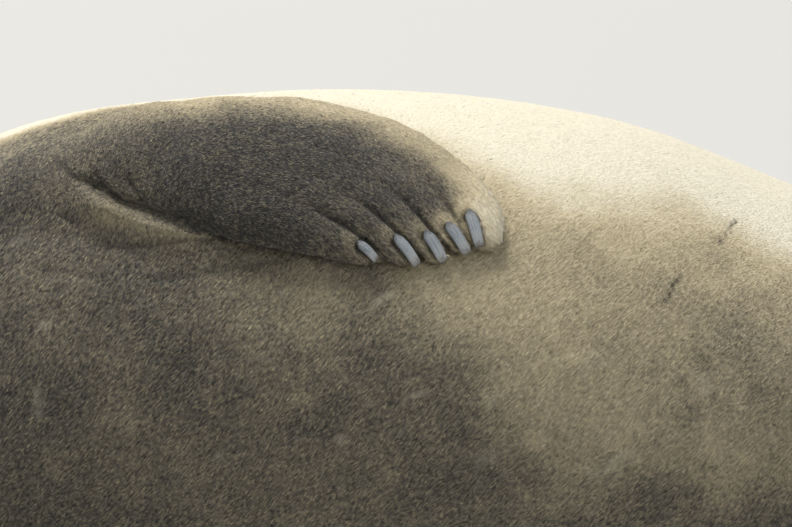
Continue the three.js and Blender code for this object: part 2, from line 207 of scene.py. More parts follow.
def from_trunk_axis(s, theta, r):
    """The reverse of round_trunk, at a distance from the axis."""
    level = trunk_size(s)[2]
    return s - MIDDLE, spine_side(s) - np.cos(theta) * r, level + np.sin(theta) * r


def elliptic(offset, radii):
    """Signed distance estimate to an ellipse or ellipsoid."""
    near = np.sqrt(sum((v / r) ** 2 for v, r in zip(offset, radii)))
    steep = np.sqrt(sum((v / (r * r)) ** 2 for v, r in zip(offset, radii)))
    return near * (near - 1) / np.maximum(steep, 1e-6)


def lump(point, at, radii):
    return elliptic([v - c for v, c in zip(point, at)], radii)


def blend(a, b, k):
    """The union of two fields, with a fillet of about the given size."""
    h = np.maximum(k - np.abs(a - b), 0) / k
    return np.minimum(a, b) - h * h * k / 4


def carve(a, b, k):
    """Cuts field b out of field a with a rounded edge."""
    return -blend(-a, b, k)


def smooth(v, low, high):
    """Rises from 0 to 1 between two values, or falls if the first is the larger."""
    t = np.clip((v - low) / (high - low), 0, 1)
    return t * t * (3 - 2 * t)


def turned(u, v, angle):
    """The coordinates of a point in axes that are turned by an angle."""
    return u * math.cos(angle) + v * math.sin(angle), -u * math.sin(angle) + v * math.cos(angle)


def beside(u, v, start, end, low=0, high=1):
    """Share of a segment's length at the point nearest to each place, and the offset from that point."""
    (u0, v0), (u1, v1) = start, end
    du, dv = u1 - u0, v1 - v0
    t = np.clip(((u - u0) * du + (v - v0) * dv) / (du * du + dv * dv), low, high)
    return t, u - u0 - t * du, v - v0 - t * dv


def trunk_field(x, y, z):
    s = x + MIDDLE
    half, top, level, sink = trunk_size(s)
    past = np.maximum(np.maximum(TRUNK[0][0] - s, s - TRUNK[-1][0]), 0)
    pressed = 2 * np.sqrt(SINK_SOFT * np.maximum(z, 0)) - SINK_SOFT
    up = np.where(z < SINK_SOFT, pressed, z) - level
    reach = np.where(up > 0, top - level, level + sink)
    section = elliptic((y - spine_side(s), up), (half, reach))
    return np.where(past > 0, np.hypot(past, np.maximum(section, 0)), section)


forward = np.array((-math.cos(HEAD_YAW), math.sin(HEAD_YAW), 0))
crown = np.array((0, -math.cos(HEAD_ROLL), math.sin(HEAD_ROLL)))
rightward = np.cross(forward, crown)
rightward /= np.linalg.norm(rightward)
crown = np.cross(rightward, forward)
crown /= np.linalg.norm(crown)
head_origin = np.array((HEAD_ROOT - MIDDLE, spine_side(HEAD_ROOT), HEAD_LEVEL))


def to_head(x, y, z):
    p = (x - head_origin[0], y - head_origin[1], z - head_origin[2])
    return [sum(v * a for v, a in zip(p, axis)) for axis in (forward, rightward, crown)]


def in_head(n, l, d):
    return head_origin + n * forward + l * rightward + d * crown


def eye_distance(n, l, d):
    return np.sqrt(sum((v - c) ** 2 for v, c in zip((n, np.abs(l), d), EYE_AT)))


def mouth_line(n):
    return MOUTH_LEVEL + 5.0 * smooth(n, 205, 235) - 9.0 * smooth(n, 165, 118)


def nostril_offset(side, d):
    """Sideways distance from the middle of a nostril's slanting slit."""
    return side - NOSTRIL_APART - NOSTRIL_SLANT * (d - 10)


def head_field(x, y, z):
    n, l, d = to_head(x, y, z)
    found = None
    for at, radii, paired in HEAD_MASSES:
        side = np.abs(l) if paired else l
        mass = lump((n, side, d), at, radii)
        found = mass if found is None else blend(found, mass, HEAD_BLEND)
    return found


def head_details(f, x, y, z):
    """Lids, eyeballs' beds, nostrils, ear holes and the parted lips."""
    n, l, d = to_head(x, y, z)
    side = np.abs(l)
    e = [v - c for v, c in zip((n, side, d), EYE_AT)]
    # lids: a ring of soft skin round the ball, wider than high
    long_axis = np.cross(EYE_LOOKS, (0, 0, 1))
    long_axis /= np.linalg.norm(long_axis)
    high_axis = np.cross(long_axis, EYE_LOOKS)
    depth, u, w = (sum(v * a for v, a in zip(e, axis)) for axis in (EYE_LOOKS, long_axis, high_axis))
    ring = np.hypot(u / LID_LONG, w / LID_HIGH)
    lid = np.hypot(ring - LID_RING, depth - LID_AHEAD) - LID_THICK
    f = blend(f, lid, 9.0)
    f = carve(f, eye_distance(n, l, d) - EYE_RADIUS - 0.2, 1.6)
    f = blend(f, lump((n, side, d), *NOSE_RIM), 7.0)
    f = carve(f, lump((n, nostril_offset(side, d), d), *NOSTRIL), 3.5)
    # the groove down the middle of the nose
    f = f + 1.8 * np.exp(-((side / 2.2) ** 2)) * smooth(n, 205, 226) * smooth(d, 30, 12)
    mound = blend(f, lump((n, side, d), *EAR_MOUND), 10.0)
    f = carve(mound, lump((n, side, d), *EAR_HOLE), 2.0)
    lips = np.maximum(np.abs(d - mouth_line(n)) - 0.9, MOUTH_CORNER - 6 - n)
    bed = np.maximum(lips, -(f + 9.0))
    return carve(f, bed, 2.5)


EASED_PARTS = 3


def eased(rows):
    """Rows with others between them, on a smooth curve through them all."""
    rows = np.array(rows, float)
    spread = np.arange(len(rows), dtype=float)[:, None]
    _, value = hermite_table(np.hstack([spread, rows]), 1 / EASED_PARTS)
    return value


def chain(rows, a, b, h, k):
    """Distance to a limb of elliptic section through rows of place, height, half width, half thickness,
    whose lengths are blended over k."""
    rows = np.array(rows, float)
    found = np.full(np.shape(a), 1e3)
    for p, q in zip(rows[:-1], rows[1:]):
        t, *offset = beside(a, b, p[:2], q[:2])
        across = np.hypot(*offset)
        height, wide, thick = (p[j] + t * (q[j] - p[j]) for j in (2, 3, 4))
        found = blend(found, elliptic((across, h - height), (wide, thick)), k)
    return found


def flat_of(x, y, z, root, angle, side, slant, splay):
    """The flat flipper coordinates of a point: along, round, and height over the trunk."""
    s, theta = round_trunk(x, y, z)
    turn = (theta - angle + math.pi) % (2 * math.pi) - math.pi
    a, b = s - root, turn * FLIPPER_ROUND / side
    height = trunk_field(x, y, z) - splay * np.maximum(a, 0)
    return (*turned(a, b, slant), height)


DIGIT_CURVES = [eased(d) for d in DIGITS]


def fore_flipper_field(a, b, h):
    found = chain(PALM, a, b, h, 6.0)
    hand = None
    for digit in DIGIT_CURVES:
        finger = chain(digit, a, b, h, 2.0)
        hand = finger if hand is None else blend(hand, finger, 2.0)
    found = blend(found, hand, 11.0)
    for base, tip, half in CLAWS:
        # the bed that a claw lies in, past the cuff of skin at its base
        t, *offset = beside(a, b, base, tip, 0.12)
        bed = elliptic((np.hypot(*offset), h - CLAW_RISE + BED_DROP * t * t), (half + 0.8, 2.7))
        found = carve(found, bed, 1.0)
    return found


def hind_points(level, turn):
    """Toe rows and the web's outline of one hind flipper, in the world."""
    side = spine_side(ANKLE_AT)
    ca, sa = math.cos(math.radians(turn)), math.sin(math.radians(turn))

    def place(d, y):
        return (ANKLE_AT - MIDDLE + d * ca - y * sa, side + d * sa + y * ca)

    def fan(toe, reach, t):
        slope = math.tan(math.radians(np.interp(toe, range(5), HIND_FAN)))
        d = reach * t
        return d, (toe - 2) * HIND_BASE + slope * d * (1 - HIND_CURL * t)

    toes = []
    for i, reach in enumerate(HIND_REACH):
        toe = []
        for t in (0.05, 0.35, 0.68, 1.0):
            lift = level + HIND_CREST * math.sin(math.pi * t) * (1 - t)
            toe.append((*place(*fan(i, reach, t)), lift, 20 - 5 * t, 14 - 7.5 * t))
        toes.append(toe)
    leg = [
        (*place(-110, 0), level + 4, 40, 14),
        (*place(-40, 0), level, 40, 15),
        (*place(40, 0), level, 46, 14),
    ]
    edge = [fan(0, HIND_REACH[0], 0.5)]
    for i, reach in enumerate(HIND_REACH):
        edge.append(fan(i, reach, 0.98))
        if i < 4:
            edge.append(fan(i + 0.5, (reach + HIND_REACH[i + 1]) / 2, WEB_NOTCH))
    edge.append(fan(4, HIND_REACH[4], 0.5))
    outline = [place(*p) for p in [(0, -40), *edge, (0, 40)]]
    return leg, toes, outline


def outline_distance(points, x, y):
    """Signed distance to a closed outline, negative inside."""
    near = np.full(np.shape(x), 1e9)
    inside = np.zeros(np.shape(x), bool)
    for (x0, y0), (x1, y1) in zip(points, points[1:] + points[:1]):
        _, dx, dy = beside(x, y, (x0, y0), (x1, y1))
        near = np.minimum(near, dx**2 + dy**2)
        crosses = (y0 > y) != (y1 > y)
        if y0 != y1:
            inside ^= crosses & (x < x0 + (y - y0) * (x1 - x0) / (y1 - y0))
    return np.where(inside, -1, 1) * np.sqrt(near)


HIND_SHAPES = {name: hind_points(**h) for name, h in HIND.items()}


def hind_flipper_field(name, x, y, z):
    leg, toes, outline = HIND_SHAPES[name]
    found = chain(leg, x, y, z, 6.0)
    for toe in toes:
        found = blend(found, chain(toe, x, y, z, 3.0), 7.0)
    past_edge = np.maximum(outline_distance(outline, x, y) + 2, 0)
    past_face = np.maximum(np.abs(z - HIND[name]["level"]) - 2.2, 0)
    return blend(found, np.hypot(past_edge, past_face) - 1.4, 9.0)


def tail_field(x, y, z):
    rows = [(s - MIDDLE, spine_side(s) + y0, z0, w, t) for s, y0, z0, w, t in TAIL]
    return chain(rows, x, y, z, 4.0)


def skin_field(x, y, z, fine=True):
    """The whole animal, in millimetres: negative inside."""
    f = trunk_field(x, y, z)
    s = x + MIDDLE
    out = f.copy()
    at = s < HEAD_END
    if at.any():
        p = (x[at], y[at], z[at])
        whole = blend(f[at], head_field(*p), NECK_BLEND)
        if fine:
            whole = head_details(whole, *p)
        out[at] = whole
    for name, flipper in FLIPPERS.items():
        at = (s > FLIPPER_START) & (s < FLIPPER_END) & (f < 70) & (f > -60)
        if name == "right":
            at &= (z > NEAR_HAND_ABOVE) & (y < 60)
        else:
            at &= y > FAR_HAND_BEYOND
        if at.any():
            a, b, h = flat_of(x[at], y[at], z[at], **flipper)
            limb = fore_flipper_field(a, b, h)
            k = 34 - 31 * smooth(a, 10, 120)
            out[at] = blend(out[at], limb, k)
    at = s > REAR_START
    if at.any():
        p = (x[at], y[at], z[at])
        rear = out[at] + 36 * smooth(s[at], 1585, 1722) ** 2
        feet = np.minimum(hind_flipper_field("left", *p), hind_flipper_field("right", *p))
        k = 3 + 33 * smooth(s[at], 1850, 1705)
        out[at] = blend(rear, blend(feet, tail_field(*p), 3.0), k)
    out = out + COAT_DEPTH
    return np.maximum(out, GROUND_SKIN - z)


GRADIENT_STEP = 0.4


def plain_skin(x, y, z):
    return skin_field(x, y, z, False)


def gradient(field, x, y, z):
    e = GRADIENT_STEP
    g = np.stack(
        [
            field(x + e, y, z) - field(x - e, y, z),
            field(x, y + e, z) - field(x, y - e, z),
            field(x, y, z + e) - field(x, y, z - e),
        ],
        axis=1,
    )
    return g / (2 * e)


def unit(v):
    return v / np.maximum(np.linalg.norm(v, axis=-1, keepdims=True), 1e-9)


VOXEL = 5.5
GRID_LOW = np.array((-1032.0, -296.0, -7.0))
GRID_HIGH = np.array((1032.0, 296.0, 458.0))
SLAB = 24  # grid planes evaluated at a time


def grid_surface():
    """Quads over the skin on a regular grid."""
    counts = np.ceil((GRID_HIGH - GRID_LOW) / VOXEL).astype(int) + 1
    axes = [GRID_LOW[k] + VOXEL * np.arange(counts[k]) for k in range(3)]
    values = np.empty(counts, np.float32)
    for start in range(0, counts[0], SLAB):
        xs = axes[0][start : start + SLAB]
        x, y, z = (v.ravel() for v in np.meshgrid(xs, axes[1], axes[2], indexing="ij"))
        values[start : start + SLAB] = plain_skin(x, y, z).reshape(len(xs), counts[1], counts[2])
    grid = openvdb.FloatGrid(VOXEL * 4)
    grid.copyFromArray(np.clip(values, -VOXEL * 3, VOXEL * 3))
    points, quads = grid.convertToQuads(isovalue=0.0)
    return points.astype(float) * VOXEL + GRID_LOW, quads.astype(int)


def refined(points, faces, chosen):
    """Splits the chosen quads in four, and gives their neighbours the new corners."""
    quad = np.array([len(f) == 4 for f in faces]) & chosen
    split = {}
    new_points = []

    def middle(a, b):
        key = (a, b) if a < b else (b, a)
        if key not in split:
            split[key] = len(points) + len(new_points)
            new_points.append((points[a] + points[b]) / 2)
        return split[key]

    out = []
    for f in np.flatnonzero(quad):
        a, b, c, d = faces[f]
        ab, bc, cd, da = middle(a, b), middle(b, c), middle(c, d), middle(d, a)
        centre = len(points) + len(new_points)
        new_points.append((points[a] + points[b] + points[c] + points[d]) / 4)
        out += [(a, ab, centre, da), (ab, b, bc, centre), (centre, bc, c, cd), (da, centre, cd, d)]
    for f in np.flatnonzero(~quad):
        ring = []
        corners = faces[f]
        for a, b in zip(corners, (*corners[1:], corners[0])):
            ring.append(a)
            key = (a, b) if a < b else (b, a)
            if key in split:
                ring.append(split[key])
        out.append(tuple(ring))
    return np.vstack([points, new_points]), out


def settle(points, steps=2, fine=True):
    """Moves points on to the skin, and returns them with its outward normals."""
    p = points.copy()
    field = skin_field if fine else plain_skin
    for _ in range(steps):
        f = field(*p.T)
        g = gradient(field, *p.T)
        p -= np.clip(f / np.maximum((g * g).sum(1), 0.05), -4, 4)[:, None] * g
    return p, unit(g)


# The picture plane of the flank: along from the nose and up across the line of sight, in millimetres
VIEW_TILT = math.radians(15)
LOOK = np.array((0, -math.cos(VIEW_TILT), math.sin(VIEW_TILT)))


def flank_plane(p):
    return p[:, 0] + MIDDLE, math.sin(VIEW_TILT) * (p[:, 1] - SIDE_SHIFT) + math.cos(VIEW_TILT) * p[:, 2]


def line_distance(points, u, v):
    """Distance to an open line, and the share of its length at the nearest point."""
    near, share = np.full(np.shape(u), 1e9), np.zeros(np.shape(u))
    steps = len(points) - 1
    for i, (start, end) in enumerate(zip(points, points[1:])):
        t, *offset = beside(u, v, start, end)
        d = np.hypot(*offset)
        closer = d < near
        near[closer] = d[closer]
        share[closer] = (i + t[closer]) / steps
    return near, share


# Folds by the flipper's root: line on the flank plane, height (negative for a groove), half width
FOLDS = [
    ([(514, 356), (532, 343), (550, 334), (567, 328), (583, 324), (602, 319), (632, 312)], 9.0, 12.5),
    ([(518, 363), (532, 355), (551, 344), (573, 337), (604, 330), (637, 319)], -7.0, 3.4),
    ([(505, 374), (517, 362), (530, 352)], -1.8, 1.8),
    ([(532, 364), (541, 354), (557, 339)], -2.6, 1.9),
    ([(554, 362), (562, 350), (573, 335)], -2.0, 1.9),
    ([(504, 337), (516, 332), (527, 327)], -1.0, 1.8),
    ([(524, 315), (560, 312), (606, 317), (634, 322)], -1.5, 2.2),
    ([(560, 292), (592, 293), (631, 300), (664, 306)], -1.2, 2.0),
    ([(490, 300), (520, 296), (556, 286)], -0.9, 2.4),
]
# Old scratches and nicks: line, depth, half width
SCRATCHES = [
    ([(961, 333), (955, 329), (949, 321), (943, 314)], -1.0, 0.9),
    ([(921, 296), (914, 289), (911, 282), (905, 275)], -1.6, 1.1),
    ([(510, 286), (514, 284)], -0.8, 1.4),
    ([(718, 283), (727, 278)], -0.5, 0.9),
]
# Pale rubbed marks: centre, long and short half sizes, turn in radians, strength
PALE_MARKS = [
    ((503, 262), (5.5, 3.6), 0.4, 0.5),
    ((499, 211), (4.0, 11.0), 0.1, 0.35),
    ((724, 280), (10.0, 2.6), 0.6, 0.7),
    ((696, 189), (5.0, 3.0), 0.3, 0.5),
    ((745, 218), (9.0, 2.6), 0.3, 0.4),
    ((793, 215), (4.5, 4.0), 0.2, 0.35),
    ((933, 225), (3.0, 11.0), 0.1, 0.4),
    ((862, 240), (14.0, 8.0), 0.3, 0.2),
    ((870, 172), (16.0, 6.0), 0.5, 0.3),
    ((790, 176), (12.0, 7.0), 0.2, 0.25),
    ((618, 178), (3.5, 2.4), 0.0, 0.5),
    ((486, 318), (10.0, 3.0), 0.5, 0.25),
]


HASH_AXES = (73856093, 19349663, 83492791)  # large odd numbers that scatter the lattice's values
HASH_SEED, HASH_MIX = 2654435761, 1274126177


def lattice_noise(p, size, seed):
    """Smooth noise about -1 to 1 from a seeded lattice, with cells of the size."""
    q = p / size
    base = np.floor(q).astype(np.int64)
    t = q - base
    t = t * t * (3 - 2 * t)
    total = np.zeros(len(p))
    for corner in range(8):
        offset = np.array([(corner >> k) & 1 for k in range(3)])
        cell = base + offset
        mixed = seed * HASH_SEED
        for k in range(3):
            mixed = mixed ^ (cell[:, k] * HASH_AXES[k])
        mixed = (mixed ^ (mixed >> 13)) * HASH_MIX & 0xFFFFFFFF
        value = ((mixed ^ (mixed >> 16)) & 0xFFFF) / 32767.5 - 1
        weight = np.prod(np.where(offset, t, 1 - t), axis=1)
        total += value * weight
    return total


def rough_noise(p, size, seed, octaves=3):
    """Lattice noise with finer and weaker noise added."""
    total, strength = np.zeros(len(p)), 0.0
    for k in range(octaves):
        total += lattice_noise(p, size / 2**k, seed + k) * 0.55**k
        strength += 0.55**k
    return total / strength


def region_of(p):
    """Which limb each skin point belongs to, with its flat coordinates on the fore flippers."""
    region = np.full(len(p), BODY)
    flat = np.zeros((len(p), 3))
    trunk = trunk_field(*p.T)
    for number, (name, flipper) in zip((NEAR_HAND, FAR_HAND), FLIPPERS.items()):
        a, b, h = flat_of(*p.T, **flipper)
        limb = fore_flipper_field(a, b, h)
        near = (limb < trunk + 1.0) & (limb < 8) & (a > -70) & (a < 290) & (np.abs(b) < 160)
        near &= (p[:, 2] > NEAR_HAND_ABOVE) if name == "right" else (p[:, 1] > FAR_HAND_BEYOND)
        region[near] = number
        flat[near] = np.stack([a, b, h], 1)[near]
    region[p[:, 0] + MIDDLE > HIND_START] = HIND_LIMBS
    return region, flat


def is_hand(region):
    return (region == NEAR_HAND) | (region == FAR_HAND)


# Where the fore flipper's leading edge lies, along the limb
LEADING_EDGE = ((-20, 30, 75, 110, 150, 180, 210, 224, 240, 255), (70, 77, 77, 73, 58, 46, 24, 10, -12, -40))
TIP_SLANT = 0.42  # of the line across the flipper's tip
# Where the dark back gives way to the belly: degrees from the back's middle, along the stations
BELLY_EDGE = (
    (300, 400, 475, 540, 605, 650, 700, 740, 800, 865, 1100, 1500, 1800),
    (116, 124, 130, 139, 142, 132, 118, 106, 94, 87, 84, 90, 100),
)
BACK_TURN = 45  # degrees that the back's middle is turned down from facing -Y


def marks_of(p, n, region, flat):
    """Tone from dark back to cream belly, with painted light and shade in places, and how far a point lies in
    the painted shade of a crease, on a dark scratch or on a pale mark.
    """
    s, theta = round_trunk(*p.T)
    from_back = np.abs((np.degrees(theta) + BACK_TURN + 180) % 360 - 180)
    boundary = np.interp(s, *BELLY_EDGE)
    band = np.interp(s, (380, 475, 620, 740, 865), (24, 10, 11, 24, 32))
    drift = 9 * rough_noise(p, 90, 11) + 5 * rough_noise(p, 28, 12)
    drift *= band / 32
    tone = np.interp(s, (475, 600, 700, 1000), (0.135, 0.20, 0.215, 0.18))
    tone -= 0.06 * smooth(from_back, 60, 30)
    shelf = 0.13 + 0.17 * smooth(s, 640, 820)
    tone += shelf * smooth(from_back + drift, boundary - 1.5 * band, boundary - 0.5 * band)
    tone += (1 - tone) * smooth(from_back + drift, boundary, boundary + band)
    mottle = rough_noise(p, 34, 21, 4)
    tone += 0.12 * mottle * (1 - 0.75 * smooth(tone, 0.4, 0.9))
    blotch = smooth(rough_noise(p, 22, 31, 3), 0.28, 0.62) * smooth(from_back, 95, 60)
    tone += 0.10 * blotch
    spots = smooth(rough_noise(p * (1, 1, 1.2), 30, 41, 5), -0.05, 0.5)
    u, v = flank_plane(p)
    facing = smooth(n @ LOOK, 0.0, 0.25)
    low_right = smooth(s, 760, 920) * smooth(v, 285, 225) * smooth(s, 1500, 1100)
    dusk = 0.13 * spots + 0.04 + 0.06 * smooth(s, 900, 980)
    tone -= dusk * smooth(from_back, 20, 55) * smooth(from_back, 112, 88) * low_right
    # painted front light: the mid flank is made lighter where it faces the camera
    painted_front_light = 0.10 * smooth(v, 235, 285) * smooth(s, 590, 670) * smooth(s, 930, 820)
    tone += painted_front_light * smooth(tone, 0.6, 0.3) * facing
    patch = rough_noise(p, 60, 42, 3)
    tone += 0.07 * patch * smooth(s, 900, 700) * smooth(tone, 0.6, 0.3)
    # head: smoky crown, paler cheek and throat, dark round the eye and on the nose
    hn, hl, hd = to_head(*p.T)
    face = smooth(s, 420, 250)
    face_tone = 0.30 + 0.42 * smooth(-hd, 12, 70) + 0.10 * rough_noise(p, 18, 51)
    face_tone += 0.14 * smooth(hn, 150, 185) * smooth(-hd, -6, 20)
    eye = eye_distance(hn, hl, hd)
    face_tone -= 0.26 * smooth(eye, 40, 24)
    face_tone -= 0.26 * smooth(hn, 214, 236) * smooth(hd, -20, -4) * smooth(hd, 34, 20)
    tone = tone * (1 - face) + face_tone * face
    # flippers: dark; paler along the leading edge, partly golden fur and partly painted light on the upturned
    # edge; paler at the tips; darker along the lower trailing edge as painted shade
    a, b = flat[:, 0], flat[:, 1]
    inside = np.interp(a, *LEADING_EDGE) - b
    golden_and_lit_width = np.interp(a, (60, 150, 210), (58, 52, 46))
    # paler towards and along the leading edge: partly golden fur, partly painted light where the edge turns
    # up to the light
    hand = 0.02 + 0.09 * rough_noise(p, 26, 61) + 0.12 * smooth(inside, 75, 35)
    hand += 0.42 * smooth(inside / golden_and_lit_width + 0.25 * rough_noise(p, 18, 62), 1.1, 0.3)
    hand += 0.20 * smooth(a - TIP_SLANT * b + 8 * rough_noise(p, 14, 63), 224, 268)
    hand += 0.07 * smooth(a, 100, 0) + 0.07 * smooth(b, -30, -60) * smooth(a, 110, 150)
    # painted shade: darker along the lower trailing edge of the flipper
    hand -= 0.07 * smooth(b, -15, -45) * smooth(a, 150, 90) * smooth(a, 10, 50)
    hand -= 0.07 * np.exp(-(((a - 150) / 45) ** 2) - ((b - 8) / 24) ** 2)
    nails = np.full(len(p), 1e3)
    for base, tip, _ in CLAWS:
        _, *offset = beside(a, b, base, tip, -0.2, 0.9)
        nails = np.minimum(nails, np.hypot(*offset))
    hand += 0.17 * smooth(nails, 14, 5)
    reach = smooth(a, -50, 70)
    on_hand = is_hand(region)
    tone = np.where(on_hand, tone * (1 - reach) + hand * reach, tone)
    rear = smooth(s, 1640, 1760)
    rear_tone = 0.12 + 0.06 * rough_noise(p, 20, 71) + 0.2 * smooth(s, 1960, 2040)
    tone = tone * (1 - rear) + rear_tone * rear
    # painted shade in the creases of the folds, the dark of the scratches, a painted highlight on the skin
    # roll's crest, and rubbed marks of the near flank
    shade_and_scratches, pale = np.zeros(len(p)), np.zeros(len(p))
    on_body = np.where(on_hand, smooth(a, 110, 80), 1.0)
    for lines, strength in ((FOLDS, 0.45), (SCRATCHES, 1.4)):
        for line, height, half in lines:
            if height < 0:
                near, share = line_distance(line, u, v)
                ends = smooth(share, 0, 0.2) * smooth(share, 1, 0.8) if len(line) > 2 else 1
                depth = np.exp(-((near / half) ** 2)) * ends * strength * min(1, -height / 1.2)
                shade_and_scratches = np.maximum(shade_and_scratches, depth * on_body)
    # painted highlight along the crest of the skin roll below the flipper's root
    painted_highlight_crest, share = line_distance(FOLDS[0][0], u, v)
    painted_highlight_ends = smooth(share, 0.0, 0.3) * smooth(share, 1, 0.7)
    tone += 0.22 * np.exp(-((painted_highlight_crest / 10.5) ** 2)) * painted_highlight_ends * on_body * facing
    for (cu, cv), (long, short), turn, strength in PALE_MARKS:
        du, dv = u - cu, v - cv
        along, across = turned(du, dv, turn)
        rim = np.hypot(along / long, across / short) + 0.6 * rough_noise(p, 5, 81, 2)
        pale = np.maximum(pale, 0.7 * strength * smooth(rim, 1.3, 0.3) * on_body)
    shade_and_scratches, pale = shade_and_scratches * facing, pale * facing
    # painted shade in the grooves between the digits, in the mouth, at the rims of the lids and in the
    # nostrils
    shade_and_scratches = np.maximum(shade_and_scratches, 0.9 * digit_furrow(region, flat))
    lips = np.exp(-(((hd - mouth_line(hn)) / 2.0) ** 2)) * smooth(hn, MOUTH_CORNER - 8, MOUTH_CORNER + 4)
    lid = smooth(eye, EYE_RADIUS + 6.5, EYE_RADIUS + 1.5)
    slit = nostril_offset(np.abs(hl), hd)
    nostril = smooth(np.hypot(slit / 4.4, (hd - 9) / 10.5), 1.15, 0.75) * smooth(hn, 214, 222)
    shade_and_scratches = np.maximum(shade_and_scratches, np.maximum(np.maximum(lips, lid), nostril) * (s < HEAD_END))
    return [np.clip(v, 0, 1) for v in (tone, shade_and_scratches, pale)]


def digit_furrow(region, flat):
    """How deep a point of a fore flipper lies between two digits."""
    a = flat[:, 0]
    lone = [chain(d, *flat.T, 2.0) for d in DIGIT_CURVES]
    fields = np.sort(np.stack(lone), axis=0)
    between = np.argsort(np.stack(lone), axis=0)[:2].mean(0)
    start = 236 - 28 * between
    furrow = np.exp(-(((fields[1] - fields[0]) / 1.7) ** 2)) * smooth(fields[0], 9, 2)
    furrow *= smooth(a, start - 16, start + 20)
    return furrow * is_hand(region)


def relief(p, n, region, flat):
    """Height of folds, creases and soft unevenness over the plain skin."""
    s = p[:, 0] + MIDDLE
    u, v = flank_plane(p)
    facing = smooth(n @ LOOK, 0.0, 0.3)
    on_body = np.where(region == BODY, 1.0, np.where(region == NEAR_HAND, smooth(flat[:, 0], 110, 80), 0.0))
    lift = np.zeros(len(p))
    for line, height, half in FOLDS + SCRATCHES:
        near, share = line_distance(line, u, v)
        ends = smooth(share, 0, 0.25) * smooth(share, 1, 0.7) if len(line) > 2 else 1
        lift += height * np.exp(-((near / half) ** 2)) * ends * facing * on_body
    lift += 1.5 * rough_noise(p, 120, 91, 2) * on_body * smooth(p[:, 2], 0, 60)
    lift += 0.45 * rough_noise(p, 26, 92, 3)
    lift += 0.16 * rough_noise(p, 7, 93, 2)
    # furrows between the digits
    lift -= 2.2 * digit_furrow(region, flat)
    # soft rings of the neck
    wave = np.sin(2 * math.pi * (s + 16 * rough_noise(p, 120, 95)) / 37)
    ring = smooth(s, 262, 320) * smooth(s, 470, 390) * (0.55 + 0.45 * rough_noise(p, 90, 96))
    lift += 1.5 * wave * ring * on_body * smooth(p[:, 2], 4, 60) * smooth(n @ LOOK, -0.6, 0.6)
    return lift


FUR_WANDER = 0.16  # how much of the coat's lie is left to chance


def fur_direction(p, n, region, flat):
    """The lie of the coat: from nose to tail, down from the back, out along each limb."""
    s, theta = round_trunk(*p.T)
    off_back = (theta + math.radians(BACK_TURN) + math.pi) % (2 * math.pi) - math.pi
    around = np.stack([np.zeros(len(p)), np.sin(theta), np.cos(theta)], 1)
    sweep = 1.15 * np.sin(off_back) * smooth(s, 250, 560) * (1 - 0.6 * smooth(s, 1000, 1500))
    way = np.array((1.0, 0, 0)) + around * sweep[:, None]
    head = smooth(s, 420, 300)[:, None]
    back_of_head = np.broadcast_to(-forward, p.shape)
    way = way * (1 - head) + back_of_head * head
    side = np.where(region == FAR_HAND, -1.0, 1.0)
    turn = smooth(flat[:, 0], 90, 235) * 0.85 + 0.12
    trailing = -around * side[:, None]
    flipper = np.array((1.0, 0, 0)) * (1 - 0.45 * turn)[:, None] + trailing * turn[:, None]
    on = (is_hand(region) * smooth(flat[:, 0], 20, 110))[:, None]
    way = way * (1 - on) + flipper * on
    way = way + FUR_WANDER * np.stack([lattice_noise(p, 45, 101 + k) for k in range(3)], 1)
    way -= n * (way * n).sum(1)[:, None]
    return unit(way)


def linear(*rgb):
    """A colour given as 8-bit display values, in linear light."""
    v = np.array(rgb) / 255
    return (*np.where(v <= 0.04045, v / 12.92, ((v + 0.055) / 1.055) ** 2.4).tolist(), 1.0)


def in_scene(name, data):
    thing = bpy.data.objects.new(name, data)
    bpy.context.scene.collection.objects.link(thing)
    return thing


def new_mesh(name, points, faces):
    """A smooth object of the model from points in millimetres and faces of any number of corners."""
    mesh = bpy.data.meshes.new(name)
    if isinstance(faces, np.ndarray):
        sizes = np.full(len(faces), faces.shape[1])
        corners = faces.ravel()
    else:
        sizes = np.array([len(f) for f in faces])
        corners = np.concatenate([np.asarray(f) for f in faces])
    mesh.vertices.add(len(points))
    mesh.vertices.foreach_set("co", (np.asarray(points) * MM).astype(np.float32).ravel())
    mesh.loops.add(len(corners))
    mesh.loops.foreach_set("vertex_index", corners.astype(np.int32))
    mesh.polygons.add(len(sizes))
    mesh.polygons.foreach_set("loop_start", (np.cumsum(sizes) - sizes).astype(np.int32))
    mesh.polygons.foreach_set("loop_total", sizes.astype(np.int32))
    mesh.update(calc_edges=True)
    mesh.validate()
    mesh.polygons.foreach_set("use_smooth", np.ones(len(mesh.polygons), bool))
    thing = in_scene(name, mesh)
    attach(thing, "root")
    return thing


def set_attribute(thing, name, values):
    """Writes a vector of three or a colour of four numbers for each point."""
    kind, field = {3: ("FLOAT_VECTOR", "vector"), 4: ("FLOAT_COLOR", "color")}[values.shape[1]]
    attribute = thing.data.attributes.new(name, kind, "POINT")
    attribute.data.foreach_set(field, values.astype(np.float32).ravel())


